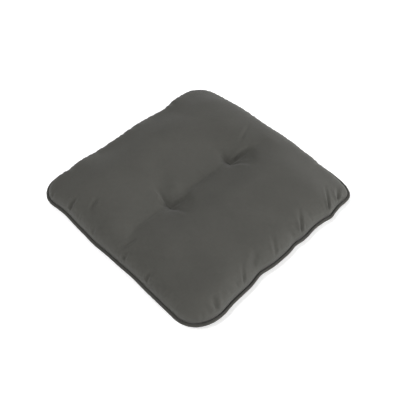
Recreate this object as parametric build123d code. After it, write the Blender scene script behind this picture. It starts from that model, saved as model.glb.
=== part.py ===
from build123d import *
import math
import os

# A square, piped, knife-edge seat pad with two tufts. Millimetres.
# Origin: centre of the footprint, on the surface the pad rests on.
# +Z is up, the front edge faces -Y, and the tufts lie in a row along X.

# Overall size, measured over the piping.
PAD_WIDTH = 450.0
PAD_DEPTH = 450.0
PAD_HEIGHT = 54.0
CORNER_RADIUS = 52.0
SEAM_HEIGHT = 17.0

# Fabric and piping.
FABRIC = 0.6
PIPING_RADIUS = 3.0
FILLER_RADIUS = PIPING_RADIUS - FABRIC
SEAM_ALLOWANCE = 12.0
FLANGE_THICKNESS = 2 * FABRIC

# Crown: how far in from the rim each panel goes before it is level.
TOP_CROWN_WIDTH = 90.0
BOTTOM_CROWN_WIDTH = 45.0
CROWN_STEPS = 9
CORNER_SOFTENING = 0.2

# Foam slab.
FOAM_SIDE = 380.0
FOAM_CORNER_RADIUS = 45.0
FOAM_BOTTOM = 8.0
FOAM_THICKNESS = 30.0
FOAM_EDGE_RADIUS = 8.0

# Tufts.
TUFT_SPACING = 161.0
TWINE_RADIUS = 0.8
TUFT_STITCH_LENGTH = 10.0
TUFT_BEND_RADIUS = 1.6
KNOT_RADIUS = 1.8
TUFT_TOP = 38.0
TUFT_UNDERSIDE = 12.0
TUFT_FLAT_RADIUS = 8.0
TOP_DIMPLE_RADIUS = 42.0
BOTTOM_DIMPLE_RADIUS = 30.0
DIMPLE_MARGIN = 6.0

# Where a tuft squeezes the filling: wadding left over and under the foam.
SQUEEZED_TOP_WADDING = 3.0
SQUEEZED_BOTTOM_WADDING = 2.0
FOAM_TOP_DIMPLE_RADIUS = 30.0
FOAM_BOTTOM_DIMPLE_RADIUS = 22.0

# Seam stitches.
THREAD_RADIUS = 0.3
STITCH_LINE_INSET = 6.0
STITCH_PITCH = 20.0
CLOSING_LENGTH = 200.0
CLOSING_GAP = 4.0

# Heights of the layers in the seam.
FLANGE_TOP = SEAM_HEIGHT + FLANGE_THICKNESS / 2
FLANGE_BOTTOM = SEAM_HEIGHT - FLANGE_THICKNESS / 2

# Half sizes and corner radius of the line down the middle of the piping.
PATH_HALF_WIDTH = PAD_WIDTH / 2 - PIPING_RADIUS
PATH_HALF_DEPTH = PAD_DEPTH / 2 - PIPING_RADIUS
PATH_CORNER_RADIUS = CORNER_RADIUS - PIPING_RADIUS


def outline(inset, z, corner_radius=None):
    """Rounded rectangle at height z, inset from the middle of the piping."""
    if corner_radius is None:
        corner_radius = PATH_CORNER_RADIUS - inset
    width = 2 * (PATH_HALF_WIDTH - inset)
    depth = 2 * (PATH_HALF_DEPTH - inset)
    return Plane.XY.offset(z) * RectangleRounded(width, depth, corner_radius)


def half_body(offset, base_z, level_z, crown_width):
    """One half of the pad: from the seam plane to where the panel is level."""
    rim_inset = PIPING_RADIUS + offset
    run = crown_width - offset
    rise = level_z - base_z
    sections = []
    for step in range(CROWN_STEPS + 1):
        angle = math.pi / 2 * step / CROWN_STEPS
        inset = rim_inset + run * (1 - math.cos(angle))
        radius = PATH_CORNER_RADIUS - rim_inset + CORNER_SOFTENING * (inset - rim_inset)
        sections.append(outline(inset, base_z + rise * math.sin(angle), radius))
    return loft(sections, ruled=True)


def dimple(x, flat_z, level_z, radius):
    """The bell-shaped hollow that a tuft pulls into one face of the pad."""
    direction = 1 if level_z > flat_z else -1
    flat_edge = (TUFT_FLAT_RADIUS, flat_z)
    rim = (radius, level_z)
    side = Spline(flat_edge, rim, tangents=[(0.7, direction), (1, 0)])
    beyond = level_z + direction * DIMPLE_MARGIN
    border = Polyline(rim, (radius, beyond), (0, beyond), (0, flat_z), flat_edge)
    profile = Plane.XZ * make_face([side, border])
    return Pos(x, 0, 0) * revolve(profile, Axis.Z)


def upper_body(offset):
    """Everything above the seam that lies at least offset inside the top panel."""
    body = half_body(offset, FLANGE_TOP, PAD_HEIGHT - offset, TOP_CROWN_WIDTH)
    for x in tuft_positions():
        body -= dimple(x, TUFT_TOP - offset, PAD_HEIGHT - offset, TOP_DIMPLE_RADIUS)
    return body


def lower_body(offset):
    """Everything below the seam that lies at least offset inside the bottom panel."""
    body = half_body(offset, FLANGE_BOTTOM, offset, BOTTOM_CROWN_WIDTH)
    for x in tuft_positions():
        body -= dimple(x, TUFT_UNDERSIDE + offset, offset, BOTTOM_DIMPLE_RADIUS)
    return body


def tuft_positions():
    return (-TUFT_SPACING / 2, TUFT_SPACING / 2)


def seam_ring(outer_inset, bottom, top):
    """A flat ring in the seam, from outer_inset to the end of the allowance."""
    ring = outline(outer_inset, bottom) - outline(SEAM_ALLOWANCE, bottom)
    return extrude(ring, top - bottom)


def piping_rod(radius):
    """A round rod along the whole piping line."""
    path = outline(0, SEAM_HEIGHT).wire()
    start = path @ 0
    section = Plane(origin=start, z_dir=path % 0) * Circle(radius)
    return sweep(section, path=path)


def stitch_heights():
    """Heights of the thread on the top and under the bottom of the seam layers."""
    upper = FLANGE_TOP + FABRIC + THREAD_RADIUS
    lower = FLANGE_BOTTOM - FABRIC - THREAD_RADIUS
    return lower, upper


def stitch_posts(points):
    """The passes of thread through the seam layers, one at each point."""
    lower, upper = stitch_heights()
    height = upper - lower
    return [
        Pos(point.X, point.Y, (lower + upper) / 2) * Cylinder(THREAD_RADIUS, height)
        for point in points
    ]


def stitched_line(wire):
    """A run of lock stitch: thread above, thread below, and the passes between."""
    lower, upper = stitch_heights()
    count = round(wire.length / STITCH_PITCH)
    points = [wire @ (index / count) for index in range(count + 1)]
    thread = None
    for z in (lower, upper):
        run = Pos(0, 0, z) * wire
        section = Plane(origin=run @ 0, z_dir=run % 0) * Circle(THREAD_RADIUS)
        rod = sweep(section, path=run)
        thread = rod if thread is None else thread + rod
    return thread + stitch_posts(points)


def main_seam_wire():
    """The stitch line from one end of the closing gap round to the other."""
    half_width = PATH_HALF_WIDTH - STITCH_LINE_INSET
    half_depth = PATH_HALF_DEPTH - STITCH_LINE_INSET
    radius = PATH_CORNER_RADIUS - STITCH_LINE_INSET
    gap = CLOSING_LENGTH / 2 + CLOSING_GAP
    corners = [
        (gap, half_depth),
        (half_width, half_depth),
        (half_width, -half_depth),
        (-half_width, -half_depth),
        (-half_width, half_depth),
        (-gap, half_depth),
    ]
    return FilletPolyline(*corners, radius=radius).wire()


def closing_seam_wire():
    """The stitch line that closes the gap left for filling, in the back edge."""
    y = PATH_HALF_DEPTH - STITCH_LINE_INSET
    half = CLOSING_LENGTH / 2
    return Wire(Edge.make_line((-half, y), (half, y)))


def tuft_thread(x):
    """One tuft: a loop of twine through the pad, with its knot underneath."""
    top = TUFT_TOP + TWINE_RADIUS
    bottom = TUFT_UNDERSIDE - TWINE_RADIUS
    half = TUFT_STITCH_LENGTH / 2
    loop = Plane.YZ * Pos(0, (top + bottom) / 2) * RectangleRounded(
        2 * half, top - bottom, TUFT_BEND_RADIUS
    )
    path = loop.wire()
    section = Plane(origin=path @ 0, z_dir=path % 0) * Circle(TWINE_RADIUS)
    knot = Pos(0, 0, bottom - TWINE_RADIUS) * Sphere(KNOT_RADIUS)
    return Pos(x, 0, 0) * (sweep(section, path=path) + knot)


def foam_slab():
    """The foam before the tufts are pulled in: a slab with rounded edges."""
    slab = extrude(
        Plane.XY.offset(FOAM_BOTTOM)
        * RectangleRounded(FOAM_SIDE, FOAM_SIDE, FOAM_CORNER_RADIUS),
        FOAM_THICKNESS,
    )
    faces = slab.faces().sort_by(Axis.Z)
    return fillet(faces[0].edges() + faces[-1].edges(), FOAM_EDGE_RADIUS)


def foam_dimples():
    """The hollows that the tufts press into both faces of the foam."""
    foam_top = FOAM_BOTTOM + FOAM_THICKNESS
    squeezed_top = TUFT_TOP - FABRIC - SQUEEZED_TOP_WADDING
    squeezed_bottom = TUFT_UNDERSIDE + FABRIC + SQUEEZED_BOTTOM_WADDING
    hollows = []
    for x in tuft_positions():
        hollows.append(dimple(x, squeezed_top, foam_top, FOAM_TOP_DIMPLE_RADIUS))
        hollows.append(dimple(x, squeezed_bottom, FOAM_BOTTOM, FOAM_BOTTOM_DIMPLE_RADIUS))
    return hollows


def thread_channel(bottom):
    """The room in the wadding for the run of thread on the seam layers."""
    outer = outline(STITCH_LINE_INSET - 2 * THREAD_RADIUS, bottom)
    inner = outline(STITCH_LINE_INSET + 2 * THREAD_RADIUS, bottom)
    return extrude(outer - inner, 2 * THREAD_RADIUS)


def build_pad():
    """Every piece of the pad, by name."""
    lower_stitch, upper_stitch = stitch_heights()
    tufts = [tuft_thread(x) for x in tuft_positions()]
    seam_wire = main_seam_wire()
    closing_wire = closing_seam_wire()
    seam_thread = stitched_line(seam_wire)
    closing_thread = stitched_line(closing_wire)
    threads = [seam_thread, closing_thread]
    allowance_inset = PIPING_RADIUS + FABRIC / 2

    top_inside = upper_body(FABRIC)
    top_allowance = seam_ring(allowance_inset, FLANGE_TOP, FLANGE_TOP + FABRIC)
    top_cover = upper_body(0) - top_inside + top_allowance - threads - tufts

    bottom_inside = lower_body(FABRIC)
    bottom_allowance = seam_ring(allowance_inset, FLANGE_BOTTOM - FABRIC, FLANGE_BOTTOM)
    bottom_cover = lower_body(0) - bottom_inside + bottom_allowance - threads - tufts

    filler = piping_rod(FILLER_RADIUS)
    flange = seam_ring(PIPING_RADIUS - FABRIC, FLANGE_BOTTOM, FLANGE_TOP)
    sleeve = piping_rod(PIPING_RADIUS) + flange - filler - threads

    foam = foam_slab() - foam_dimples() - tufts

    upper_middle = extrude(outline(SEAM_ALLOWANCE, SEAM_HEIGHT), FLANGE_TOP - SEAM_HEIGHT)
    upper_channel = thread_channel(upper_stitch - THREAD_RADIUS)
    top_wadding = top_inside + upper_middle - top_allowance - upper_channel - foam - tufts

    lower_middle = extrude(
        outline(SEAM_ALLOWANCE, FLANGE_BOTTOM), SEAM_HEIGHT - FLANGE_BOTTOM
    )
    lower_channel = thread_channel(lower_stitch - THREAD_RADIUS)
    bottom_wadding = (
        bottom_inside + lower_middle - bottom_allowance - lower_channel - foam - tufts
    )

    return {
        "top_cover": top_cover,
        "bottom_cover": bottom_cover,
        "piping_sleeve": sleeve,
        "piping_filler": filler,
        "seam_thread": seam_thread,
        "closing_thread": closing_thread,
        "foam_core": foam,
        "top_wadding": top_wadding,
        "bottom_wadding": bottom_wadding,
        "tuft_thread_left": tufts[0],
        "tuft_thread_right": tufts[1],
    }


os.makedirs("parts", exist_ok=True)
for name, piece in build_pad().items():
    export_step(piece, f"parts/{name}.step")
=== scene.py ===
import math

import bpy
import numpy as np
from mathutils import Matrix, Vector
from mathutils.bvhtree import BVHTree


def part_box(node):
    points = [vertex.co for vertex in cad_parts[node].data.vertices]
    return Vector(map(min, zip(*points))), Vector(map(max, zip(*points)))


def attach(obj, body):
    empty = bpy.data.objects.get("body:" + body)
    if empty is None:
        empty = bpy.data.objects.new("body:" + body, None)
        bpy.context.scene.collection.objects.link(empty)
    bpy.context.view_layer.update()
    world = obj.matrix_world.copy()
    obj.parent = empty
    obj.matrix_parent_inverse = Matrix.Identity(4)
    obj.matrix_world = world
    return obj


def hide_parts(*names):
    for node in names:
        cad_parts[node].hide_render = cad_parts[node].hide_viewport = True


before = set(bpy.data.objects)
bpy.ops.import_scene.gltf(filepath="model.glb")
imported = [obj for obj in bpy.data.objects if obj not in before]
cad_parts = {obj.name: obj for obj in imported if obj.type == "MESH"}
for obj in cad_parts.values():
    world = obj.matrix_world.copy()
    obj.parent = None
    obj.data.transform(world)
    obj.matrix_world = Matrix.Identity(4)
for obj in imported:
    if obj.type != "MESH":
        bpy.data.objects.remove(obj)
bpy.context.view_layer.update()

# A square, piped seat pad with two tufts. Metres, in the frame's own axes: +Z is up,
# the front edge faces -Y, and the tufts lie in a row along X.

MM = 0.001

# ---- sizes from the frame

SLEEVE_LOW, SLEEVE_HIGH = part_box("piping_sleeve")
PIPING_RADIUS = (SLEEVE_HIGH.z - SLEEVE_LOW.z) / 2
SEAM_HEIGHT = (SLEEVE_HIGH.z + SLEEVE_LOW.z) / 2
PATH_HALF = SLEEVE_HIGH.x - PIPING_RADIUS
PAD_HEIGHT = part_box("top_cover")[1].z
TUFT_LOW, TUFT_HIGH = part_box("tuft_thread_right")
TUFT_HALF_SPACING = (TUFT_LOW.x + TUFT_HIGH.x) / 2
FOAM_LOW, FOAM_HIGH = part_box("foam_core")

# ---- sizes of the soft parts

FABRIC = 0.6 * MM
TWINE_RADIUS = 0.8 * MM
TUFT_SINK = 7 * MM
TUFT_TOP = TUFT_HIGH.z - 2 * TWINE_RADIUS - TUFT_SINK
TUFT_SHIFT = 6 * MM
TUFTS = (TUFT_SHIFT - TUFT_HALF_SPACING, TUFT_SHIFT + TUFT_HALF_SPACING)
TUFT_UNDERSIDE = 12 * MM
TUFT_HALF_LENGTH = 6 * MM
TUFT_HALF_WIDTH = 2.6 * MM
CORNER_RADIUS = 49 * MM
SEAM_ALLOWANCE = 12 * MM
STITCH_INSET = 6 * MM

# Each panel starts beside the piping and curves over until it is level.
PANEL_HALF = PATH_HALF - PIPING_RADIUS
PANEL_RADIUS = CORNER_RADIUS - PIPING_RADIUS
TOP_CROWN_WIDTH = 104 * MM
BOTTOM_CROWN_WIDTH = 45 * MM
TOP_FULLNESS = 2.3
BOTTOM_FULLNESS = 2.0
OVERHANG = 4.0 * MM
CURVE_STEPS = 3000
CROWN_EXTRA = 7 * MM
TOP_DIMPLE_REACH = 20 * MM
TUFT_PIT = 20 * MM
TUFT_PIT_REACH = 13 * MM
BOTTOM_DIMPLE_REACH = 9 * MM

# Cloth simulation.
CELLS = 96
FRAMES = 20
CLOTH_GROWTH = 1.02
TUFT_DRAW = 0.05
TUFT_DRAW_WIDTH = 30 * MM
MOST_MOVE = 16 * MM
GUIDE_WEIGHT = 0.15
CLOTH = {
    "quality": 6,
    "mass": 0.3,
    "air_damping": 1.0,
    "tension_stiffness": 20,
    "compression_stiffness": 15,
    "shear_stiffness": 6,
    "bending_stiffness": 0.15,
    "vertex_group_mass": "held",
    "pin_stiffness": 1.0,
    "use_pressure": True,
    "uniform_pressure_force": 3.5,
    "use_pressure_volume": True,
    "target_volume": 0.0077,
}

# The sides are drawn in between the corners, and a little more at each dip, in
# millimetres: (place along the side, depth, half width).
SIDE_BOW = {"front": 1.5, "left": 2.5, "back": 2.5, "right": -7.0}
SIDE_REACH = 60 * MM
DIPS = {
    "front": [
        (-160, -3.5, 22),
        (-54, 5, 22),
        (38, 3, 14),
        (96, 3, 24),
        (136, -2.5, 10),
        (172, 3, 18),
        (206, -5, 14),
    ],
    "left": [(-60, 1.5, 28), (42, -2, 26), (140, 3.5, 34)],
    "back": [(-150, 2.5, 20), (-20, 2, 40), (102, 6, 26)],
    "right": [(-178, 5, 34), (-128, 4.5, 20), (-88, 3, 26), (20, 1.5, 30), (130, 2.5, 26)],
}
OUTWARD = {"front": (0, -1), "left": (-1, 0), "back": (0, 1), "right": (1, 0)}

# Puckers that run up from the seam, in millimetres: (place, length, depth, half width,
# slant), where slant is how far they lean over for each millimetre up.
PUCKERS = {
    "front": [
        (-196, 16, 1.2, 4, 0.2),
        (-166, 26, 3.2, 5.5, 0.25),
        (-98, 30, 1.8, 4, 0.8),
        (-14, 38, 1.8, 5, 0.6),
        (58, 38, 3.0, 4.5, 0.8),
        (134, 42, 3.0, 4, 0.9),
        (168, 28, 3.0, 5, 0.9),
    ],
    "left": [
        (-170, 18, 1.2, 4, 0.0),
        (-93, 26, 2.6, 5, 0.1),
        (-32, 26, 3.0, 5, 0.2),
        (54, 20, 1.6, 5, 0.2),
        (101, 18, 1.6, 4, 0.0),
        (127, 34, 4.0, 4.5, 0.1),
        (181, 18, 1.4, 4, 0.0),
    ],
    "back": [
        (-150, 30, 1.4, 6, 0.1),
        (-60, 22, 1.0, 6, -0.2),
        (10, 28, 1.0, 6, 0.2),
        (118, 30, 1.5, 6, 0.0),
    ],
    "right": [
        (-128, 26, 1.2, 5, 0.2),
        (-40, 22, 0.8, 5, 0.0),
        (60, 30, 1.2, 5, -0.2),
        (134, 26, 1.2, 5, 0.1),
    ],
}

# Folds that run out from the tufts: (tuft, direction in degrees, length, depth, half
# width), all but the first two in millimetres.
TUFT_FOLDS = (
    (0, 84, 46, 3.5, 4.5),
    (0, -84, 48, 2.5, 4.5),
    (0, -18, 40, 2.0, 4),
    (1, 88, 30, 3.5, 5),
    (1, -66, 54, 2.5, 5),
    (1, -12, 58, 3.0, 5),
    (1, 150, 26, 2.0, 4),
    (0, 140, 26, 1.5, 4),
)

# The panels lie against the two layers of the piping strip.
PANEL_LIFT = FABRIC + 0.05 * MM

# Studio light: (name, direction and elevation in degrees, power).
LIGHTS = (
    ("left_light", 174, 56, 46),
    ("low_front_light", 270, 20, 28),
    ("low_corner_light", 310, 20, 25),
    ("low_right_light", 338, 20, 28),
    ("overhead_light", 90, 80, 23),
)
LIGHT_DISTANCE = 2.8
LIGHT_SIZE = 1.0
WORLD_STRENGTH = 0.01
FLOOR_GLOW = 0.4
BACKDROP_GLOW = 0.35
FLOOR_REACH = 12.0
BACKDROP_RADIUS = 11.0
BACKDROP_HEIGHT = 3.4
BACKDROP_SIDES = 96

# Camera: it looks down on the pad from beyond its front left corner.
CAMERA_AZIMUTH = -44.77
CAMERA_ELEVATION = 51.42
CAMERA_DISTANCE = 1.220
CAMERA_AIM = (-0.0162, -0.0454, 0.02)
LENS = 55.1
SENSOR = 36.0

# ---- shape of the panels


def cloth_curve(width, rise, fullness):
    """A panel's curve from the rim inwards: cloth length, plan distance, height share."""
    angle = np.linspace(0, math.pi / 2, CURVE_STEPS)
    share = np.sin(angle) ** (2 / fullness)
    inward = width * (1 - np.cos(angle) ** (2 / fullness))
    step = np.hypot(np.diff(inward), np.diff(rise * share))
    return np.concatenate([[0], np.cumsum(step)]), inward, share


def fold_axis(flat, flat_half, curve):
    """Where flat cloth comes to lie on one axis, and its share of the crown."""
    along, inward, share = curve
    from_rim = flat_half - np.abs(flat)
    level = from_rim - along[-1] + inward[-1]
    plan = np.where(from_rim < along[-1], np.interp(from_rim, along, inward), level)
    return np.sign(flat) * (PANEL_HALF - plan), np.interp(from_rim, along, share)


def bulge(share, overhang):
    """How far the pad's side stands out over the seam, at a share of its height."""
    return overhang * np.sin(math.pi * share**1.5)


def round_corners(x, y, half, radius):
    """Bends a square's corners into arcs, leaving the rest where it is."""
    straight = half - radius
    a = np.clip((np.abs(x) - straight) / radius, 0, 1)
    b = np.clip((np.abs(y) - straight) / radius, 0, 1)
    corner = (a > 0) & (b > 0)
    round_x = straight + radius * a * np.sqrt(1 - b * b / 2)
    round_y = straight + radius * b * np.sqrt(1 - a * a / 2)
    return (
        np.where(corner, np.sign(x) * round_x, x),
        np.where(corner, np.sign(y) * round_y, y),
    )


def smooth(value):
    """0 below 0, 1 above 1, and a soft step between."""
    value = np.clip(value, 0, 1)
    return value * value * (3 - 2 * value)


def bell(value):
    return np.exp(-value * value)


def along_and_inward(x, y, side):
    """Place along a side, and distance in from it."""
    out_x, out_y = OUTWARD[side]
    along = x if out_x == 0 else y
    return along, PANEL_HALF - (x * out_x + y * out_y)


def side_depth(side, along):
    """How far a side is drawn in at each place: its bow and its dips."""
    depth = SIDE_BOW[side] * MM * np.clip(1 - (along / PANEL_HALF) ** 2, 0, 1)
    for place, dip, width in np.multiply(DIPS[side], MM):
        depth = depth + dip * bell((along - place) / width)
    return depth


def draw_in_sides(x, y):
    """Pulls the plan in along each side."""
    moved_x, moved_y = x.copy(), y.copy()
    for side, (out_x, out_y) in OUTWARD.items():
        along, inward = along_and_inward(x, y, side)
        depth = side_depth(side, along) * np.exp(-np.clip(inward, 0, None) / SIDE_REACH)
        moved_x -= out_x * depth
        moved_y -= out_y * depth
    return moved_x, moved_y


def panel_grid(crown_width, rise, fullness, overhang, direction):
    """One panel before simulation: its points, and the same points of flat cloth."""
    curve = cloth_curve(crown_width, rise, fullness)
    flat_half = PANEL_HALF + curve[0][-1] - curve[1][-1]
    line = np.linspace(-flat_half, flat_half, CELLS + 1)
    flat_x, flat_y = np.meshgrid(line, line, indexing="ij")
    x, share_x = fold_axis(flat_x, flat_half, curve)
    y, share_y = fold_axis(flat_y, flat_half, curve)
    x, y = round_corners(x, y, PANEL_HALF, PANEL_RADIUS)
    x, y = draw_in_sides(x, y)
    x = x + np.sign(x) * bulge(share_x, overhang) * share_y
    y = y + np.sign(y) * bulge(share_y, overhang) * share_x
    z = SEAM_HEIGHT + direction * rise * share_x * share_y
    flat_x, flat_y = round_corners(flat_x, flat_y, flat_half, PANEL_RADIUS)
    flat = np.stack([flat_x, flat_y, np.zeros_like(flat_x)], axis=-1)
    return np.stack([x, y, z], axis=-1), flat


def nearness_to_tuft(x, y, reach):
    """1 at the nearer tuft's stitch, and less and less away from it."""
    beside = np.clip(np.abs(y) - TUFT_HALF_LENGTH, 0, None)
    away = [np.hypot(x - centre, beside) for centre in TUFTS]
    return np.exp(-np.minimum(*away) / reach)


def pull_tufts(points, height, reach):
    """Draws the cloth to a height at each tuft, most sharply beside the stitch."""
    pull = nearness_to_tuft(points[..., 0], points[..., 1], reach)
    points[..., 2] += (height - points[..., 2]) * pull


def held_by_tuft(points):
    """The points that a tuft's stitch holds down."""
    near_x = np.abs(np.abs(points[..., 0] - TUFT_SHIFT) - TUFT_HALF_SPACING) < TUFT_HALF_WIDTH
    return near_x & (np.abs(points[..., 1]) < TUFT_HALF_LENGTH + 1 * MM)


def distance_to_line(points, start, end):
    """Each point's distance from a line in plan, and its share of the way along."""
    start, run = np.array(start), np.subtract(end, start)
    aside = points[..., :2] - start
    share = np.clip((aside @ run) / math.hypot(*run) ** 2, 0, 1)
    return np.linalg.norm(aside - share[..., None] * run, axis=-1), share


# The crease along the tufts and on to the left side, in millimetres: (x, y, depth).
VALLEY = (
    (-220, -24, 0),
    (-195, -14, 5),
    (-160, -2, 13),
    (-120, 0, 18),
    (-76, 2, 22),
    (0, 1, 22),
    (84, 0, 22),
    (115, -7, 17),
    (145, -16, 10),
    (185, -24, 0),
)
VALLEY_BACK_WIDTH = 120 * MM
VALLEY_FRONT_WIDTH = 84 * MM
VALLEY_SHARPNESS = 1.5
CREASE_SHARE = 0.08
CREASE_SHIFT = 2 * MM
CREASE_WIDTH = 8 * MM


def valley_at(points):
    """How far each point lies behind the valley's middle, and how deep the valley is."""
    x, middle, depth = np.multiply(VALLEY, MM).T
    aside = points[..., 1] - np.interp(points[..., 0], x, middle)
    return aside, np.interp(points[..., 0], x, depth)


def press_valley(points):
    """The valley that the tufts pull between two long soft mounds."""
    aside, depth = valley_at(points)
    width = np.where(aside > 0, VALLEY_BACK_WIDTH, VALLEY_FRONT_WIDTH)
    points[..., 2] -= depth * np.clip(1 - np.abs(aside) / width, 0, 1) ** VALLEY_SHARPNESS


def sharpen_crease(points):
    """Draws the bottom of the valley into a crease."""
    aside, depth = valley_at(points)
    closeness = np.exp(-np.abs(aside - CREASE_SHIFT) / CREASE_WIDTH)
    points[..., 2] -= depth * CREASE_SHARE * closeness


# Soft mounds and hollows of the filling, each along a line, in millimetres:
# (start, end, radius, height). They fade out in the lowest part of the side.
MOUNDS = (
    ((-180, 182), (190, 184), 34, -6.5),
    ((110, 155), (195, 155), 30, -2.5),
    ((-120, 112), (60, 118), 30, 2.0),
    ((-60, -72), (110, -72), 26, 0.5),
    ((-120, -150), (190, -150), 36, -2.0),
    ((185, -150), (185, 40), 34, -3.5),
    ((-170, -120), (-150, -125), 36, -5.0),
    ((-175, -190), (-130, -198), 30, 5.0),
    ((130, 112), (140, 116), 32, -3.0),
    ((200, -185), (200, -185), 48, -6.0),
    ((-68, 14), (-42, 18), 13, 3.0),
    ((-62, 46), (-46, 48), 17, -2.5),
    ((-135, 190), (-125, 192), 26, 2.5),
    ((-80, 200), (-76, 200), 24, -2.5),
    ((5, 195), (10, 195), 36, 2.5),
    ((62, 200), (64, 200), 24, -2.0),
    ((130, 195), (132, 195), 30, 2.5),
    ((52, -165), (56, -160), 24, -1.5),
)
MOUND_FADE = 10 * MM
SHORTEST_LINE = 0.1


def add_mounds(points):
    """The filling's mounds and hollows."""
    full = np.clip((points[..., 2] - SEAM_HEIGHT) / MOUND_FADE, 0, 1)
    for start, end, radius, height in MOUNDS:
        end = np.add(end, SHORTEST_LINE)
        away, _ = distance_to_line(points, np.multiply(start, MM), end * MM)
        points[..., 2] += height * MM * bell(away / (radius * MM)) * full


# Loose folds in the top, in millimetres: (start, end, depth, half width).
LOOSE_FOLDS = (
    ((126, 11), (188, 35), 1.2, 3.5),
    ((-194, 87), (-164, 98), 2.2, 4.0),
    ((-208, -14), (-170, -21), 2.0, 4.0),
    ((-75, -212), (-38, -188), 2.0, 5.0),
)
LOOSE_FOLD_END = 0.35


def press_loose_folds(points):
    """Folds that start and end in the open."""
    for start, end, depth, width in LOOSE_FOLDS:
        away, along = distance_to_line(points, *np.multiply((start, end), MM))
        taper = smooth(along / LOOSE_FOLD_END) * smooth((1 - along) / LOOSE_FOLD_END)
        points[..., 2] -= depth * MM * taper * fold_profile(away / (width * MM))


# Gullies, where the cloth falls to a tuft. Each deepens from its first direction to its
# second and ends there in a steep wall: (tuft, both directions in degrees, length and
# depth in millimetres).
GULLIES = (
    (1, -80, -12, 62, 16.0),
    (0, -95, -12, 54, 10.0),
    (0, 15, 80, 60, 8.0),
)
GULLY_WALL_DEGREES = 10
GULLY_END = 0.3
GULLY_START_POWER = 6


def press_gullies(points):
    """The gullies, deepest between the tuft and their far end."""
    for tuft, low, high, length, depth in GULLIES:
        x, y = points[..., 0] - TUFTS[tuft], points[..., 1]
        reach = np.clip(1 - np.hypot(x, y) / (length * MM), 0, 1)
        direction = np.degrees(np.arctan2(y, x))
        inside = np.clip((direction - low) / (high - low), 0, 1)
        inside = inside * smooth((high - direction) / GULLY_WALL_DEGREES + 1)
        profile = inside * reach * smooth(reach / GULLY_END) * (1 - reach**GULLY_START_POWER)
        points[..., 2] -= depth * MM * profile


# ---- cloth simulation


def quads(grid, flipped=False):
    a, b = grid[:-1, :-1].ravel(), grid[1:, :-1].ravel()
    c, d = grid[1:, 1:].ravel(), grid[:-1, 1:].ravel()
    return np.stack([a, d, c, b] if flipped else [a, b, c, d], axis=1)


def rim_of(grid):
    """The values of a grid along its border, once round, starting at the front left."""
    return np.concatenate([grid[:-1, 0], grid[-1, :-1], grid[:0:-1, -1], grid[0, :0:-1]])


def new_object(name, points, faces):
    mesh = bpy.data.meshes.new(name)
    mesh.from_pydata(points.tolist(), [], [list(map(int, face)) for face in faces])
    mesh.update()
    mesh.shade_smooth()
    piece = bpy.data.objects.new(name, mesh)
    bpy.context.scene.collection.objects.link(piece)
    return piece


def draw_together(flat):
    """The cloth between the tufts is cut short, so that it pulls tight."""
    shorter = flat.copy()
    band = bell(flat[..., 1] / TUFT_DRAW_WIDTH)
    shorter[..., 0] -= TUFT_DRAW * np.clip(flat[..., 0], *TUFTS) * band
    return shorter * CLOTH_GROWTH


def cloth_settings(modifier, rest_key):
    settings = modifier.settings
    for name, value in CLOTH.items():
        setattr(settings, name, value)
    settings.rest_shape_key = rest_key
    settings.effector_weights.gravity = 0
    modifier.point_cache.frame_start = 1
    modifier.point_cache.frame_end = FRAMES


def simulate(top, top_flat, bottom, bottom_flat):
    """Blows up the sewn panels as cloth, held at the seam and the tufts."""
    size = CELLS + 1
    top_index = np.arange(size * size).reshape(size, size)
    inner = np.zeros((size, size), bool)
    inner[1:-1, 1:-1] = True
    bottom_index = top_index.copy()
    bottom_index[inner] = size * size + np.arange(inner.sum())
    points = np.concatenate([top.reshape(-1, 3), bottom[inner]])
    top_rest, bottom_rest = draw_together(top_flat), draw_together(bottom_flat)
    rest = np.concatenate([top_rest.reshape(-1, 3), bottom_rest[inner]])
    faces = np.concatenate([quads(top_index), quads(bottom_index, True)])
    pad = new_object("pad_cloth", points, faces)
    pad.shape_key_add(name="Basis")
    rest_key = pad.shape_key_add(name="flat")
    rest_key.data.foreach_set("co", rest.astype(np.float32).ravel())
    held = pad.vertex_groups.new(name="held")
    held.add(list(range(len(points))), GUIDE_WEIGHT, "REPLACE")
    held.add(rim_of(top_index).tolist(), 1.0, "REPLACE")
    held.add(top_index[held_by_tuft(top)].tolist(), 1.0, "REPLACE")
    held.add(bottom_index[held_by_tuft(bottom) & inner].tolist(), 1.0, "REPLACE")
    cloth_settings(pad.modifiers.new("cloth", "CLOTH"), rest_key)
    for number in range(1, FRAMES + 1):
        bpy.context.scene.frame_set(number)
    shown = pad.evaluated_get(bpy.context.evaluated_depsgraph_get())
    result = np.zeros(len(points) * 3, np.float32)
    shown.data.vertices.foreach_get("co", result)
    result = result.reshape(-1, 3).astype(float)
    bpy.data.objects.remove(pad)
    bpy.context.scene.frame_set(1)
    move = result - points
    length = np.linalg.norm(move, axis=1, keepdims=True)
    result = points + move * np.minimum(1, MOST_MOVE / np.maximum(length, 1e-9))
    return result[top_index], result[bottom_index]


def refine(grid):
    """Puts a point between every two, on a smooth curve through its neighbours."""
    for axis in (0, 1):
        grid = np.moveaxis(grid, axis, 0)
        before = np.concatenate([2 * grid[:1] - grid[1:2], grid[:-2]])
        after = np.concatenate([grid[2:], 2 * grid[-1:] - grid[-2:-1]])
        between = (9 * (grid[:-1] + grid[1:]) - before - after) / 16
        finer = np.empty((2 * len(grid) - 1, *grid.shape[1:]))
        finer[::2], finer[1::2] = grid, between
        grid = np.moveaxis(finer, 0, axis)
    return grid


# ---- folds and puckers


RIDGE_SHARE = 0.3
RIDGE_PLACE = 2
RIDGE_WIDTH = 0.9

# Every pucker is this much deeper than its row says.
PUCKER_DEPTH = 1.5
PUCKER_START = 1 * MM
PUCKER_RAMP = 4 * MM
PUCKER_NARROWEST = 0.6
PUCKER_WIDENING = 0.7
PUCKER_INWARD = 0.6
PUCKER_DOWNWARD = 0.8

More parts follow.
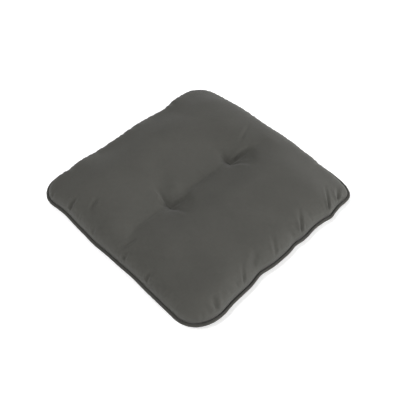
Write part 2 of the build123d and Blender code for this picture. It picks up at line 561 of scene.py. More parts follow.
TUFT_FOLD_START = 0.1
TUFT_FOLD_FADE = 1.2
TUFT_FOLD_NARROWEST = 0.7
TUFT_FOLD_WIDENING = 0.6

# Puckers underneath answer those on top, a little further along.
UNDER_PUCKER_SHIFT = 12 * MM
UNDER_PUCKER_LENGTH = 0.6
UNDER_PUCKER_DEPTH = 0.5

# Limits for the small random puckers: steps, lengths and half widths in millimetres,
# depths as shares of the deepest.
GATHER_STEPS = (9, 22)
GATHER_LENGTHS = (10, 28)
GATHER_DEPTHS = (0.2, 1.0)
GATHER_WIDTHS = (2.5, 5)
GATHER_SLANTS = (-0.3, 0.3)
GATHER_MARGIN = 20 * MM
TOP_GATHER = 1.0 * MM
BOTTOM_GATHER = 0.8 * MM

# Lumps of the filling: their number, their span in x and y, and radii in millimetres.
LUMPS = 70
LUMP_AREA = (-0.2, 0.2)
LUMP_RADII = (18, 48)
LUMP_HEIGHT = 0.8 * MM


def fold_profile(value):
    """A sharp valley with a slight rise on each side of it."""
    return bell(value) - RIDGE_SHARE * bell((np.abs(value) - RIDGE_PLACE) / RIDGE_WIDTH)


def press_pucker(points, side, place, length, depth, width, slant):
    """One pucker in the side of the pad, from the seam up."""
    out_x, out_y = OUTWARD[side]
    along, inward = along_and_inward(points[..., 0], points[..., 1], side)
    inward = np.clip(inward - side_depth(side, along) - PUCKER_START, 0, None)
    widening = PUCKER_NARROWEST + PUCKER_WIDENING * inward / length
    offset = (along - place - slant * inward) / (width * widening)
    taper = smooth(inward / PUCKER_RAMP) * smooth(1 - inward / length)
    dent = PUCKER_DEPTH * depth * fold_profile(offset) * taper
    points[..., 0] -= PUCKER_INWARD * dent * out_x
    points[..., 1] -= PUCKER_INWARD * dent * out_y
    points[..., 2] -= PUCKER_DOWNWARD * dent * np.sign(points[..., 2] - SEAM_HEIGHT)


def press_puckers(points, shift, length_share, depth_share):
    """The large puckers, moved along their sides and scaled."""
    for side, puckers in PUCKERS.items():
        for place, length, depth, width, slant in puckers:
            length *= length_share * MM
            depth *= depth_share * MM
            press_pucker(points, side, place * MM + shift, length, depth, width * MM, slant)


def gather(points, seed, most):
    """Small random puckers all round, where the seam gathers the cloth."""
    chance = np.random.default_rng(seed)
    for side in OUTWARD:
        place = -PANEL_HALF + GATHER_MARGIN
        while place < PANEL_HALF - GATHER_MARGIN:
            place += chance.uniform(*GATHER_STEPS) * MM
            length = chance.uniform(*GATHER_LENGTHS) * MM
            depth = chance.uniform(*GATHER_DEPTHS) * most
            width = chance.uniform(*GATHER_WIDTHS) * MM
            slant = chance.uniform(*GATHER_SLANTS)
            press_pucker(points, side, place, length, depth, width, slant)


def press_tuft_folds(points):
    """The folds that radiate from each tuft, wider further out."""
    for tuft, degrees, length, depth, width in TUFT_FOLDS:
        run_x, run_y = math.cos(math.radians(degrees)), math.sin(math.radians(degrees))
        start = (TUFTS[tuft], TUFT_HALF_LENGTH * run_y)
        end = (start[0] + length * MM * run_x, start[1] + length * MM * run_y)
        away, along = distance_to_line(points, start, end)
        beyond = smooth(along / TUFT_FOLD_START) * (1 - along) ** TUFT_FOLD_FADE
        widening = TUFT_FOLD_NARROWEST + TUFT_FOLD_WIDENING * along
        offset = away / (width * MM * widening)
        points[..., 2] -= depth * MM * beyond * fold_profile(offset)


def add_lumps(points, seed, most):
    """The filling's soft unevenness."""
    chance = np.random.default_rng(seed)
    for _ in range(LUMPS):
        centre = chance.uniform(*LUMP_AREA, 2)
        radius = chance.uniform(*LUMP_RADII) * MM
        away = np.hypot(points[..., 0] - centre[0], points[..., 1] - centre[1])
        points[..., 2] += chance.uniform(-1, 1) * most * bell(away / radius)


def press_tuft_pits(points):
    """The pit that each stitch pulls in the middle of its dimple."""
    pull = nearness_to_tuft(points[..., 0], points[..., 1], TUFT_PIT_REACH)
    points[..., 2] -= TUFT_PIT * pull


def shape_top(points):
    """Everything that the needle and the filling do to the top."""
    sharpen_crease(points)
    add_mounds(points)
    press_gullies(points)
    press_loose_folds(points)
    press_tuft_pits(points)
    press_tuft_folds(points)
    add_lumps(points, seed=3, most=LUMP_HEIGHT)
    gather(points, seed=5, most=TOP_GATHER)
    press_puckers(points, shift=0, length_share=1, depth_share=1)


def shape_bottom(points):
    """The puckers of the underside."""
    gather(points, seed=8, most=BOTTOM_GATHER)
    press_puckers(points, UNDER_PUCKER_SHIFT, UNDER_PUCKER_LENGTH, UNDER_PUCKER_DEPTH)


def rest_on_floor(points):
    """Flattens whatever would hang below the surface the pad lies on."""
    soft = 2 * MM
    z = points[..., 2]
    points[..., 2] = np.where(z > soft, z, soft * np.exp((np.minimum(z, soft) - soft) / soft))


def make_panels():
    """Both cover panels as fine grids of points, with their flat cloth."""
    top_rise = PAD_HEIGHT + CROWN_EXTRA - SEAM_HEIGHT
    top, top_flat = panel_grid(TOP_CROWN_WIDTH, top_rise, TOP_FULLNESS, OVERHANG, 1)
    bottom, bottom_flat = panel_grid(BOTTOM_CROWN_WIDTH, SEAM_HEIGHT, BOTTOM_FULLNESS, 0, -1)
    press_valley(top)
    pull_tufts(top, TUFT_TOP + TUFT_PIT, TOP_DIMPLE_REACH)
    pull_tufts(bottom, TUFT_UNDERSIDE, BOTTOM_DIMPLE_REACH)
    top, bottom = simulate(top, top_flat, bottom, bottom_flat)
    top, bottom = refine(top), refine(bottom)
    shape_top(top)
    shape_bottom(bottom)
    top[..., 2] += PANEL_LIFT
    bottom[..., 2] -= PANEL_LIFT
    rest_on_floor(bottom)
    return top, refine(top_flat), bottom, refine(bottom_flat)


# ---- materials


def set_inputs(tree, node, inputs):
    """Gives a node's inputs their values, or links them to the outputs of other nodes."""
    for name, value in inputs.items():
        if isinstance(value, bpy.types.NodeSocket):
            tree.links.new(value, node.inputs[name])
        else:
            node.inputs[name].default_value = value


def add_node(tree, kind, inputs=None, **settings):
    node = tree.nodes.new(kind)
    for name, value in settings.items():
        setattr(node, name, value)
    set_inputs(tree, node, inputs or {})
    return node


def math_node(tree, operation, first, second=0.0):
    inputs = {0: first, 1: second}
    return add_node(tree, "ShaderNodeMath", inputs, operation=operation).outputs[0]


def map_range(tree, inputs):
    return add_node(tree, "ShaderNodeMapRange", inputs).outputs[0]


def mix_colour(tree, share, first, second, blend="MIX"):
    inputs = {0: share, 6: first, 7: second}
    node = add_node(tree, "ShaderNodeMix", inputs, data_type="RGBA", blend_type=blend)
    return node.outputs[2]


def new_material(name, roughness, sheen=0.0):
    material = bpy.data.materials.new(name)
    material.use_nodes = True
    tree = material.node_tree
    shader = tree.nodes["Principled BSDF"]
    set_inputs(tree, shader, {"Roughness": roughness, "Specular IOR Level": 0.25})
    set_inputs(tree, shader, {"Sheen Weight": sheen, "Sheen Roughness": 0.5})
    return material, tree, shader


# The cover's cloth. Noise scales are per metre.
THREAD_PITCH = 0.55 * MM
WEAVE_DEPTH = 0.12 * MM
WEAVE_SHEEN = 0.12
SLUB_SCALE = 900
SLUB_STRETCH = 0.08
SLUB_SHARE = 0.7
CLOUD_SCALE = 14
CLOUD_SHARE = 0.3
GAP_SHADE = (0.6, 0.6, 0.6, 1)
GAP_SHARE = 0.6

# Threads and fillings: (darkest, lightest, noise per metre, bump in millimetres).
FIBRES = {
    "sewing_thread": ((0.04, 0.04, 0.034, 1), (0.06, 0.06, 0.052, 1), 4000, 0.05),
    # The tuft twine is a dark grey, darker than the cover as painted shade for the pit at each
    # tuft.
    "tuft_twine": ((0.03, 0.03, 0.026, 1), (0.05, 0.05, 0.042, 1), 3000, 0.1),
    "piping_cotton": ((0.6, 0.58, 0.52, 1), (0.78, 0.76, 0.7, 1), 2500, 0.1),
    "foam_cells": ((0.62, 0.55, 0.32, 1), (0.86, 0.82, 0.6, 1), 900, 0.4),
    "wadding_fibre": ((0.7, 0.7, 0.68, 1), (0.9, 0.9, 0.88, 1), 300, 0.6),
}


def weave_height(tree, place):
    """Plain weave: rows of warp and weft that pass over each other in turn."""
    parts = add_node(tree, "ShaderNodeSeparateXYZ", {0: place})
    threads, crossings = [], []
    for axis in (0, 1):
        turn = math_node(tree, "MULTIPLY", parts.outputs[axis], math.pi / THREAD_PITCH)
        threads.append(math_node(tree, "ABSOLUTE", math_node(tree, "SINE", turn)))
        crossings.append(math_node(tree, "SINE", math_node(tree, "MULTIPLY", turn, 0.5)))
    over = math_node(tree, "MULTIPLY", *crossings)
    over = map_range(tree, {"Value": over, "From Min": -0.3, "From Max": 0.3})
    warp_up = math_node(tree, "MULTIPLY", threads[0], over)
    weft_up = math_node(tree, "MULTIPLY", threads[1], math_node(tree, "SUBTRACT", 1.0, over))
    return math_node(tree, "ADD", warp_up, weft_up)


def noise(tree, place, scale, detail, stretch=(1, 1, 1)):
    stretched = add_node(tree, "ShaderNodeMapping", {"Vector": place, "Scale": stretch})
    inputs = {"Vector": stretched.outputs[0], "Scale": scale, "Detail": detail}
    return add_node(tree, "ShaderNodeTexNoise", inputs).outputs["Fac"]


def woven_material(name, dark, light):
    """Matt woven polyester: plain weave, uneven yarns and a soft change of tone."""
    material, tree, shader = new_material(name, 0.9, WEAVE_SHEEN)
    place = add_node(tree, "ShaderNodeUVMap", uv_map="cloth").outputs[0]
    warp_slubs = noise(tree, place, SLUB_SCALE, 2.0, (1, SLUB_STRETCH, 1))
    weft_slubs = noise(tree, place, SLUB_SCALE, 2.0, (SLUB_STRETCH, 1, 1))
    slubs = math_node(tree, "MULTIPLY", math_node(tree, "ADD", warp_slubs, weft_slubs), 0.5)
    yarns = math_node(tree, "MULTIPLY", slubs, SLUB_SHARE)
    clouds = math_node(tree, "MULTIPLY", noise(tree, place, CLOUD_SCALE, 3.0), CLOUD_SHARE)
    tone = math_node(tree, "ADD", yarns, clouds)
    tone = map_range(tree, {"Value": tone, "From Min": 0.3, "From Max": 0.7})
    height = weave_height(tree, place)
    yarn_colour = mix_colour(tree, tone, dark, light)
    gaps = mix_colour(tree, height, GAP_SHADE, (1, 1, 1, 1))
    shaded = mix_colour(tree, GAP_SHARE, yarn_colour, gaps, "MULTIPLY")
    rough = map_range(tree, {"Value": slubs, "To Min": 0.82, "To Max": 0.97})
    set_inputs(tree, shader, {"Base Color": shaded, "Roughness": rough})
    surface = math_node(tree, "ADD", height, math_node(tree, "MULTIPLY", slubs, 0.5))
    add_bump(tree, shader, surface, 0.5, WEAVE_DEPTH)
    return material


def add_bump(tree, shader, height, strength, distance):
    inputs = {"Height": height, "Strength": strength, "Distance": distance}
    bump = add_node(tree, "ShaderNodeBump", inputs)
    set_inputs(tree, shader, {"Normal": bump.outputs[0]})


def fibre_material(name):
    """Foam, wadding, cord or thread: noise at the scale of cells or fibres."""
    dark, light, scale, bump_distance = FIBRES[name]
    material, tree, shader = new_material(name, 0.95, 0.1)
    place = add_node(tree, "ShaderNodeTexCoord").outputs["Object"]
    grain = noise(tree, place, scale, 4.0)
    set_inputs(tree, shader, {"Base Color": mix_colour(tree, grain, dark, light)})
    add_bump(tree, shader, grain, 0.6, bump_distance * MM)
    return material


def cover_material():
    return woven_material("cover_weave", (0.055, 0.054, 0.048, 1), (0.08, 0.079, 0.07, 1))


# The piping's cloth is darker than the cover's: painted shade that stands in for the dark line
# of contact shade along the edge.
def piping_painted_shade_material():
    return woven_material("piping_weave_painted_shade", (0.039, 0.038, 0.033, 1), (0.058, 0.057, 0.051, 1))


def studio_paint(name, glow):
    """Matt white paint, with a glow as if it were lit from behind."""
    material, tree, shader = new_material(name, 0.9)
    set_inputs(tree, shader, {"Base Color": (0.9, 0.9, 0.9, 1)})
    set_inputs(tree, shader, {"Emission Color": (1, 1, 1, 1), "Emission Strength": glow})
    return material


# ---- pieces


def set_cloth_map(piece, places):
    """Stores where each point lies on the flat cloth, in metres."""
    layer = piece.data.uv_layers.new(name="cloth")
    corner_points = np.zeros(len(piece.data.loops), np.int32)
    piece.data.loops.foreach_get("vertex_index", corner_points)
    layer.data.foreach_set("uv", places[corner_points].astype(np.float32).ravel())


def finish_piece(piece, material, node):
    piece.data.materials.append(material)
    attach(piece, "root")
    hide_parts(node)


def outward_along(line):
    """Outward directions, in plan, along a closed line of points."""
    ahead = np.roll(line, -3, axis=0) - np.roll(line, 3, axis=0)
    outward = np.stack([ahead[:, 1], -ahead[:, 0], np.zeros(len(line))], axis=1)
    return outward / np.linalg.norm(outward, axis=1, keepdims=True)


def band_quads(first, second):
    """Quads between two closed rows of points."""
    return np.stack([first, second, np.roll(second, -1), np.roll(first, -1)], axis=1)


ALLOWANCE_ROWS = (1.2 * MM, 5 * MM, SEAM_ALLOWANCE - PIPING_RADIUS)


def make_cover(name, node, grid, flat, side, material):
    """One panel of the cover, with its seam allowance turned in under the rim."""
    index = np.arange(grid[..., 0].size).reshape(grid.shape[:2])
    row = rim_of(index)
    rim, flat_rim = grid.reshape(-1, 3)[row], flat.reshape(-1, 3)[row]
    outward = outward_along(rim)
    points, places = [grid.reshape(-1, 3)], [flat.reshape(-1, 3)[:, :2]]
    faces = [quads(index, flipped=side < 0)]
    for number, inset in enumerate(ALLOWANCE_ROWS):
        points.append(rim - inset * outward)
        places.append((flat_rim + inset * outward)[:, :2])
        next_row = index.size + number * len(row) + np.arange(len(rim))
        faces.append(band_quads(row, next_row) if side > 0 else band_quads(next_row, row))
        row = next_row
    cover = new_object(name, np.concatenate(points), np.concatenate(faces))
    set_cloth_map(cover, np.concatenate(places))
    thickness = cover.modifiers.new("thickness", "SOLIDIFY")
    thickness.thickness = FABRIC
    thickness.offset = -1
    finish_piece(cover, material, node)


def walk(path):
    """Distance along a closed path at each of its points, and its whole length."""
    step = np.linalg.norm(np.roll(path, -1, axis=0) - path, axis=1)
    return np.cumsum(step) - step, step.sum()


def sweep_ring(name, path, sections):
    """Sweeps sections of (outward, up) points round the piping's closed path."""
    points = path[:, None] + sections[..., :1] * outward_along(path)[:, None]
    points = points + sections[..., 1:] * np.array([0.0, 0.0, 1.0])
    index = np.arange(sections[..., 0].size).reshape(sections.shape[:2])
    beside = np.roll(index, -1, axis=1)
    ahead, both = np.roll(index, -1, axis=0), np.roll(beside, -1, axis=0)
    faces = np.stack([index, ahead, both, beside], axis=-1).reshape(-1, 4)
    return new_object(name, points.reshape(-1, 3), faces)


def arc(radius, start, end, steps):
    angle = np.radians(np.linspace(start, end, steps))
    return np.stack([radius * np.cos(angle), radius * np.sin(angle)], axis=1)


FLANGE_GAP = 0.03 * MM
SLEEVE_STEPS = (23, 15)
ROUND_PART = 0.9
# Ripples: (share of the radius, waves in one round of the pad, lean round the cord).
RIPPLES = ((0.012, 430, 1.4), (0.02, 121, -0.7))


def sleeve_section():
    """The folded strip in section: round the cord, then both edges into the seam."""
    inner = PIPING_RADIUS - FABRIC
    outer_end = 180 - math.degrees(math.asin(FABRIC / PIPING_RADIUS))
    inner_end = 180 - math.degrees(math.asin(FLANGE_GAP / inner))
    return np.concatenate(
        [
            [(-SEAM_ALLOWANCE, FABRIC)],
            arc(PIPING_RADIUS, outer_end, -outer_end, SLEEVE_STEPS[0]),
            [(-SEAM_ALLOWANCE, -FABRIC), (-SEAM_ALLOWANCE, -FLANGE_GAP)],
            arc(inner, -inner_end, inner_end, SLEEVE_STEPS[1]),
            [(-SEAM_ALLOWANCE, FLANGE_GAP)],
        ]
    )


def make_sleeve(path, material):
    """The bias strip round the cord, slightly rippled by its sewing."""
    section = sleeve_section()
    walked, total = walk(path)
    turn = np.arctan2(section[:, 1], section[:, 0])
    on_cord = section[:, 0] > -ROUND_PART * PIPING_RADIUS
    twist = 2 * math.pi * walked[:, None] / total
    ripple = sum(size * np.sin(waves * twist + lean * turn) for size, waves, lean in RIPPLES)
    sections = section * (1 + ripple * on_cord)[..., None]
    sleeve = sweep_ring("piping_strip", path, sections)
    across = np.append(0, np.cumsum(np.linalg.norm(np.diff(section, axis=0), axis=1)))
    bias = math.sqrt(0.5)
    forward = walked[:, None]
    places = np.stack([bias * (forward + across), bias * (across - forward)], axis=-1)
    set_cloth_map(sleeve, places.reshape(-1, 2))
    finish_piece(sleeve, material, "piping_sleeve")


CORD_TURNS = 85
CORD_STRANDS = 3
CORD_SIDES = 18
CORD_SLACK = 0.1 * MM
STRAND_GROOVE = 0.14


def laid_section(turn, phase, radius):
    """How far a laid cord's surface is from its middle."""
    strand = np.abs(np.cos(CORD_STRANDS / 2 * (turn + phase)))
    return radius * (1 - STRAND_GROOVE + STRAND_GROOVE * strand)


def make_piping_cord(path, material):
    walked, total = walk(path)
    turn = np.linspace(0, 2 * math.pi, CORD_SIDES, endpoint=False)
    phase = 2 * math.pi * CORD_TURNS / CORD_STRANDS * walked[:, None] / total
    reach = laid_section(turn, phase, PIPING_RADIUS - FABRIC - CORD_SLACK)
    sections = np.stack([reach * np.cos(turn), -reach * np.sin(turn)], axis=-1)
    cord = sweep_ring("piping_cord", path, sections)
    finish_piece(cord, material, "piping_filler")


# A direction that no path starts in.
ASKEW = (0.3, 0.5, 0.8)


def tube(path, radius, sides, closed, strands=0, twist=0.0):
    """Points and faces of a round or laid strand along a path."""
    count = len(path)
    if closed:
        ahead = np.roll(path, -1, axis=0) - np.roll(path, 1, axis=0)
    else:
        ahead = np.gradient(path, axis=0)
    ahead /= np.linalg.norm(ahead, axis=1, keepdims=True)
    across = np.empty_like(path)
    side = np.cross(ahead[0], ASKEW)
    for number in range(count):
        side = side - ahead[number] * (side @ ahead[number])
        side /= np.linalg.norm(side)
        across[number] = side
    if closed:
        back = np.cross(ahead[0], across[-1])
        slip = math.atan2(across[0] @ back, across[0] @ across[-1])
        share = np.linspace(0, slip, count)[:, None]
        across = across * np.cos(share) + np.cross(ahead, across) * np.sin(share)
    upward = np.cross(ahead, across)
    turn = np.linspace(0, 2 * math.pi, sides, endpoint=False)
    reach = np.full((count, sides), radius)
    if strands:
        phase = twist * np.arange(count)[:, None] / count
        reach = laid_section(turn, phase, radius)
    points = (
        path[:, None]
        + (reach * np.cos(turn))[..., None] * across[:, None]
        + (reach * np.sin(turn))[..., None] * upward[:, None]
    )
    index = np.arange(count * sides).reshape(count, sides)
    beside = np.roll(index, -1, axis=1)
    next_row, next_beside = np.roll(index, -1, axis=0), np.roll(beside, -1, axis=0)
    faces = np.stack([index, beside, next_beside, next_row], axis=-1)
    faces = (faces if closed else faces[:-1]).reshape(-1, 4).tolist()
    if not closed:
        faces += [index[0, ::-1].tolist(), index[-1].tolist()]
    return points.reshape(-1, 3), faces


def join_tubes(name, tubes):
    """One object from several tubes."""
    points, faces = [], []
    for tube_points, tube_faces in tubes:
        start = sum(len(rows) for rows in points)
        points.append(tube_points)
        faces += [[start + corner for corner in face] for face in tube_faces]
    return new_object(name, np.concatenate(points), faces)


CLOSING_HALF = 100 * MM
CLOSING_GAP = 4 * MM
STITCH_PITCH = 3.2 * MM
CLOSING_PITCH = 1.7 * STITCH_PITCH
CLOSING_SLANT = 0.5 * MM
STITCH_POINTS = 6
STITCH_STEEPNESS = 0.4
THREAD_RADIUS = 0.22 * MM
THREAD_SIDES = 5
LAYERS_HALF = 2 * FABRIC + 0.1 * MM


def seam_lines(path):
    """The machine seam's line, and the closing seam's in the middle of the back."""
    line = path - STITCH_INSET * outward_along(path)
    on_back = line[:, 1] > 0
    closing = on_back & (np.abs(line[:, 0]) < CLOSING_HALF)
    open_part = on_back & (np.abs(line[:, 0]) < CLOSING_HALF + CLOSING_GAP)
    start = np.nonzero(open_part)[0][-1] + 1
    machine = np.roll(line, -start, axis=0)[: len(line) - open_part.sum()]
    return machine, line[closing]


def evenly_spaced(line, step):
    """The same open line with points a step apart."""
    walked = np.append(0, np.cumsum(np.linalg.norm(np.diff(line, axis=0), axis=1)))
    places = np.linspace(0, walked[-1], round(walked[-1] / step) + 1)
    return np.stack([np.interp(places, walked, line[:, axis]) for axis in range(3)], axis=1)


def lockstitch(line, pitch, slant):
    """Needle and bobbin threads that lock between the layers at each stitch."""
    points = evenly_spaced(line, pitch / STITCH_POINTS)
    phase = math.pi * np.arange(len(points)) / STITCH_POINTS
    reach = (LAYERS_HALF + THREAD_RADIUS) * np.abs(np.sin(phase)) ** STITCH_STEEPNESS
    ahead = np.gradient(points, axis=0)
    across = np.stack([ahead[:, 1], -ahead[:, 0], 0 * phase], axis=1)
    across /= np.linalg.norm(across, axis=1, keepdims=True)
    tubes = []
    for side in (1, -1):
        thread = points + across * (THREAD_RADIUS * side + slant * np.sin(phase))[:, None]
        thread[:, 2] += side * reach
        tubes.append(tube(thread, THREAD_RADIUS, THREAD_SIDES, closed=False))
    return tubes


def make_seams(path, material):
    machine, closing = seam_lines(path)
    for name, node, line, pitch, slant in (
        ("seam_stitches", "seam_thread", machine, STITCH_PITCH, 0.0),
        ("closing_stitches", "closing_thread", closing, CLOSING_PITCH, CLOSING_SLANT),
    ):
        stitches = join_tubes(name, lockstitch(line, pitch, slant))
        finish_piece(stitches, material, node)


def grid_normals(grid):
    """Unit normals of a grid of points, on the upper side of a level one."""
    normal = np.cross(np.gradient(grid, axis=0), np.gradient(grid, axis=1))
    return normal / np.linalg.norm(normal, axis=-1, keepdims=True)


def surface_tree(grid):
    index = np.arange(grid[..., 0].size).reshape(grid.shape[:2])
    return BVHTree.FromPolygons(grid.reshape(-1, 3).tolist(), quads(index).tolist())


def height_on(tree, x, y, from_above, missing):
    """The height of a surface at each place in plan, or the given one beside it."""
    start, down = (1.0, -1.0) if from_above else (-1.0, 1.0)
    heights = []
    for place_x, place_y in zip(x.ravel().tolist(), y.ravel().tolist()):
        hit = tree.ray_cast((place_x, place_y, start), (0, 0, down))[0]
        heights.append(missing if hit is None else hit.z)
    return np.array(heights).reshape(x.shape)


def closed_pair(name, upper, lower):
    """A closed solid between two grids of points, joined along their borders."""
    index = np.arange(upper[..., 0].size).reshape(upper.shape[:2])
    faces = [
        quads(index),
        quads(index + index.size, flipped=True),
        band_quads(rim_of(index), rim_of(index) + index.size),
    ]
    points = np.concatenate([upper.reshape(-1, 3), lower.reshape(-1, 3)])
    return new_object(name, points, np.concatenate(faces))


FOAM_HALF = FOAM_HIGH.x
FOAM_CORNER = 45 * MM
FOAM_EDGE = 8 * MM
FOAM_CELLS = 120
FOAM_CROWDING = 1.25
LEAST_TOP_WADDING = 3 * MM
LEAST_BOTTOM_WADDING = 2 * MM

# Between the cover and the wadding, and between the wadding and the foam.
CLEARANCE = 1.3 * MM
FOAM_CLEARANCE = 0.3 * MM
LEAST_THICKNESS = 0.5 * MM
# How far above or below the seam the wadding's two sides end at its border.
WADDING_BORDER = (3 * MM, 2.4 * MM)


def lowest_near(heights):
    """Each height, or the lowest of its eight neighbours where that is lower."""
    for axis in (0, 1):
        before, after = np.roll(heights, 1, axis), np.roll(heights, -1, axis)
        heights = np.minimum(heights, np.minimum(before, after))
    return heights


def make_foam(top, bottom, material):
    """The foam slab, pressed in by the tufts, with its edges rounded over."""
    line = np.linspace(-1, 1, FOAM_CELLS + 1)
    line = FOAM_HALF * np.sign(line) * (1 - (1 - np.abs(line)) ** FOAM_CROWDING)
    x, y = np.meshgrid(line, line, indexing="ij")
    edge_x = np.clip((FOAM_HALF - np.abs(x)) / FOAM_EDGE, 0, 1)
    edge_y = np.clip((FOAM_HALF - np.abs(y)) / FOAM_EDGE, 0, 1)
    drop = FOAM_EDGE * (1 - np.sqrt(1 - (1 - edge_x) ** 2) * np.sqrt(1 - (1 - edge_y) ** 2))
    x, y = round_corners(x, y, FOAM_HALF, FOAM_CORNER)
    upper = height_on(surface_tree(top), x, y, True, PAD_HEIGHT) - LEAST_TOP_WADDING
    lower = height_on(surface_tree(bottom), x, y, False, 0) + LEAST_BOTTOM_WADDING
    upper = np.minimum(lowest_near(upper), FOAM_HIGH.z) - drop
    lower = np.maximum(lower, FOAM_LOW.z) + drop
    upper, lower = np.stack([x, y, upper], axis=-1), np.stack([x, y, lower], axis=-1)
    foam = closed_pair("foam_slab", upper, lower)
    finish_piece(foam, material, "foam_core")
    return upper, lower


def make_wadding(name, node, cover, foam, side, material):
    """The fibre between one panel and the foam; side is 1 above it and -1 below it."""
    outer = cover - side * CLEARANCE * grid_normals(cover)
    under = height_on(surface_tree(cover), outer[..., 0], outer[..., 1], side > 0, SEAM_HEIGHT)
    z = outer[..., 2]
    level = SEAM_HEIGHT + side * WADDING_BORDER[0]
    if side > 0:
        z = lowest_near(np.minimum(z, under - CLEARANCE))
        outer[..., 2] = np.maximum(z, level)
    else:
        # Every second point will do underneath.
        outer = outer[::2, ::2]
        outer[..., 2] = np.minimum(np.maximum(z, under + CLEARANCE), level)[::2, ::2]
    tree = surface_tree(foam)
    inner = outer.copy()
    beside = SEAM_HEIGHT + side * WADDING_BORDER[1]
    rest = height_on(tree, outer[..., 0], outer[..., 1], side > 0, beside)
    rest += side * FOAM_CLEARANCE
    if side > 0:
        inner[..., 2] = np.minimum(rest, outer[..., 2] - LEAST_THICKNESS)
        wadding = closed_pair(name, outer, inner)
    else:
        inner[..., 2] = np.maximum(rest, outer[..., 2] + LEAST_THICKNESS)
        wadding = closed_pair(name, inner, outer)
    finish_piece(wadding, material, node)


TWINE_STRAND_TURNS = 30
TWINE_POINTS = 0.35 * MM
TWINE_SIDES = 12
STITCH_HALF = 5 * MM
STITCH_BEND = 1.6 * MM
BEND_STEPS = 8
KNOT_SIZE = 0.8 * MM
KNOT_SPREAD = 0.8
KNOT_STEPS = 60
KNOT_SIDES = 10
KNOT_DROP = 0.4 * MM
KNOT_TWINE = 0.7 * TWINE_RADIUS


def stitch_loop(centre):
    """The line of one tuft's twine: down through the pad, along, up and back."""
    straight = STITCH_HALF - STITCH_BEND
    high = TUFT_TOP + TWINE_RADIUS - STITCH_BEND
    low = TUFT_UNDERSIDE - TWINE_RADIUS + STITCH_BEND
    bends = (
        (straight, high, 0),
        (-straight, high, 90),
        (-straight, low, 180),
        (straight, low, 270),
    )
    loop = []
    for y, z, start in bends:
        bend = arc(STITCH_BEND, start, start + 90, BEND_STEPS)
        loop += [(centre, y + across, z + up) for across, up in bend]
    loop = np.array(loop + loop[:1])
    return evenly_spaced(loop, TWINE_POINTS)[:-1]


def knot_line(centre):
    """A trefoil knot, pulled tight under the stitch."""
    turn = np.linspace(0, 2 * math.pi, KNOT_STEPS, endpoint=False)
    spread = KNOT_SIZE * KNOT_SPREAD
    return np.stack(
        [
            centre + spread * (np.sin(turn) + 2 * np.sin(2 * turn)),
            spread * (np.cos(turn) - 2 * np.cos(2 * turn)),
            TUFT_UNDERSIDE - TWINE_RADIUS - KNOT_DROP - KNOT_SIZE * np.sin(3 * turn),
        ],
        axis=1,
    )


def make_tuft(name, node, centre, material):
    """A loop of twine from a short stitch on top to a knotted one underneath."""
    twist = 2 * math.pi * TWINE_STRAND_TURNS / CORD_STRANDS
    tubes = [
        tube(stitch_loop(centre), TWINE_RADIUS, TWINE_SIDES, True, CORD_STRANDS, twist),
        tube(knot_line(centre), KNOT_TWINE, KNOT_SIDES, True),
    ]
    finish_piece(join_tubes(name, tubes), material, node)


# ---- the scene


def make_floor():
    corners = FLOOR_REACH * np.array([(-1, -1, 0), (1, -1, 0), (1, 1, 0), (-1, 1, 0)])
    floor = new_object("floor", corners, [(0, 1, 2, 3)])
    floor.data.materials.append(studio_paint("floor_paint", FLOOR_GLOW))


def make_backdrop():
    """A round white wall far behind the lamps, for the views from low down."""
    turn = np.linspace(0, 2 * math.pi, BACKDROP_SIDES, endpoint=False)
    foot = BACKDROP_RADIUS * np.stack([np.cos(turn), np.sin(turn), 0 * turn], axis=1)
    points = np.concatenate([foot, foot + (0, 0, BACKDROP_HEIGHT)])
    lower = np.arange(len(foot))
    wall = new_object("backdrop", points, band_quads(lower, lower + len(foot)))
    wall.data.materials.append(studio_paint("backdrop_paint", BACKDROP_GLOW))


def direction_to(degrees, elevation):
    """The unit vector at an angle from +X towards +Y, and an elevation."""
    turn, rise = math.radians(degrees), math.radians(elevation)
    level = math.cos(rise)
    return Vector((math.cos(turn) * level, math.sin(turn) * level, math.sin(rise)))


def look_back(direction):
    """The rotation that looks against a direction."""
    return (-direction).to_track_quat("-Z", "Y").to_euler()


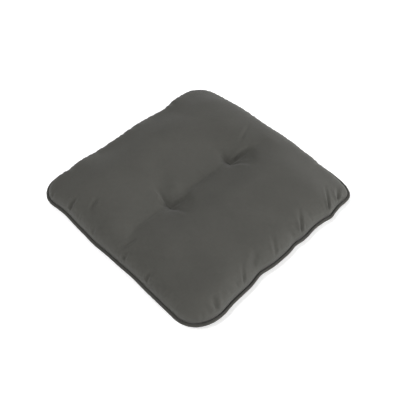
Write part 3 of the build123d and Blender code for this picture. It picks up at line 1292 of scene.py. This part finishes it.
def make_lights():
    world = bpy.data.worlds.new("studio")
    world.use_nodes = True
    background = world.node_tree.nodes["Background"]
    glow = {"Color": (1, 1, 1, 1), "Strength": WORLD_STRENGTH}
    set_inputs(world.node_tree, background, glow)
    bpy.context.scene.world = world
    for name, degrees, elevation, power in LIGHTS:
        light = bpy.data.lights.new(name, "AREA")
        light.size = LIGHT_SIZE
        light.energy = power
        lamp = bpy.data.objects.new(name, light)
        direction = direction_to(degrees, elevation)
        lamp.location = direction * LIGHT_DISTANCE
        lamp.rotation_euler = look_back(direction)
        bpy.context.scene.collection.objects.link(lamp)
    bpy.context.scene.view_settings.view_transform = "Standard"


def make_camera():
    camera = bpy.data.cameras.new("camera")
    camera.lens = LENS
    camera.sensor_width = SENSOR
    holder = bpy.data.objects.new("camera", camera)
    back = direction_to(CAMERA_AZIMUTH - 90, CAMERA_ELEVATION)
    holder.location = Vector(CAMERA_AIM) + back * CAMERA_DISTANCE
    holder.rotation_euler = look_back(back)
    bpy.context.scene.collection.objects.link(holder)
    bpy.context.scene.camera = holder


def make_pad():
    """The whole pad, from its covers inwards."""
    top, top_flat, bottom, bottom_flat = make_panels()
    weave = cover_material()
    make_cover("top_panel", "top_cover", top, top_flat, 1, weave)
    make_cover("bottom_panel", "bottom_cover", bottom, bottom_flat, -1, weave)
    rim = rim_of(top)
    path = rim + PIPING_RADIUS * outward_along(rim)
    path[:, 2] -= PANEL_LIFT
    make_sleeve(path, piping_painted_shade_material())
    make_piping_cord(path, fibre_material("piping_cotton"))
    make_seams(path, fibre_material("sewing_thread"))
    foam_sides = make_foam(top, bottom, fibre_material("foam_cells"))
    fibre = fibre_material("wadding_fibre")
    make_wadding("wadding_over_foam", "top_wadding", top, foam_sides[0], 1, fibre)
    make_wadding("wadding_under_foam", "bottom_wadding", bottom, foam_sides[1], -1, fibre)
    # The twine's colour is darker than the cover's: painted shade for the tuft pits.
    painted_shade_twine = fibre_material("tuft_twine")
    for side, centre in zip(("left", "right"), TUFTS):
        make_tuft(f"tuft_{side}", f"tuft_thread_{side}", centre, painted_shade_twine)


make_pad()
make_floor()
make_backdrop()
make_lights()
make_camera()
